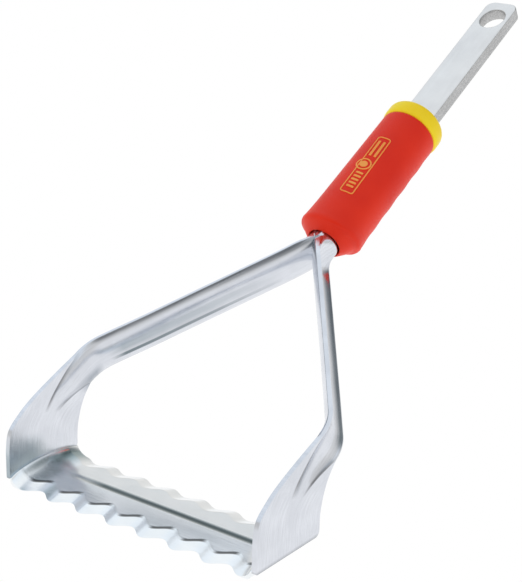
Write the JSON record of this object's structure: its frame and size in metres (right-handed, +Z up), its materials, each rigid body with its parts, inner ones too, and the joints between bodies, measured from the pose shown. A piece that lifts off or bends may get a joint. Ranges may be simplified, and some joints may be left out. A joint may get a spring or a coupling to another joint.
{
  "type": "push-pull weeder head",
  "caption": "Stirrup weeder head: wave-edged double-sided blade between two pressed steel arms, red grip sleeve, yellow collar and flat tang with an eye.",
  "frame": {"origin": "centre of the eye near the tang's free end", "axes": "+X along the blade towards the right arm, +Y level and towards the handle, +Z up from the blade's cutting plane"},
  "size_m": [0.15, 0.3272, 0.1979],
  "materials": {
    "blade_steel": "bright plated, ground edges",
    "arm_steel": "bright plated pressing",
    "tang_steel": "satin zinc plate",
    "core_plastic": "moulded, dark grey",
    "sleeve_plastic": "moulded red, semi-gloss",
    "collar_plastic": "moulded yellow",
    "badge_print": "printed orange-yellow"
  },
  "bodies": {
    "root": {"blade": "blade_steel", "arm_left": "arm_steel", "arm_right": "arm_steel", "tang": "tang_steel", "tang_rivets": "tang_steel", "core": "core_plastic", "sleeve": "sleeve_plastic", "collar_ring": "collar_plastic", "badge": "badge_print"}
  },
  "joints": []
}
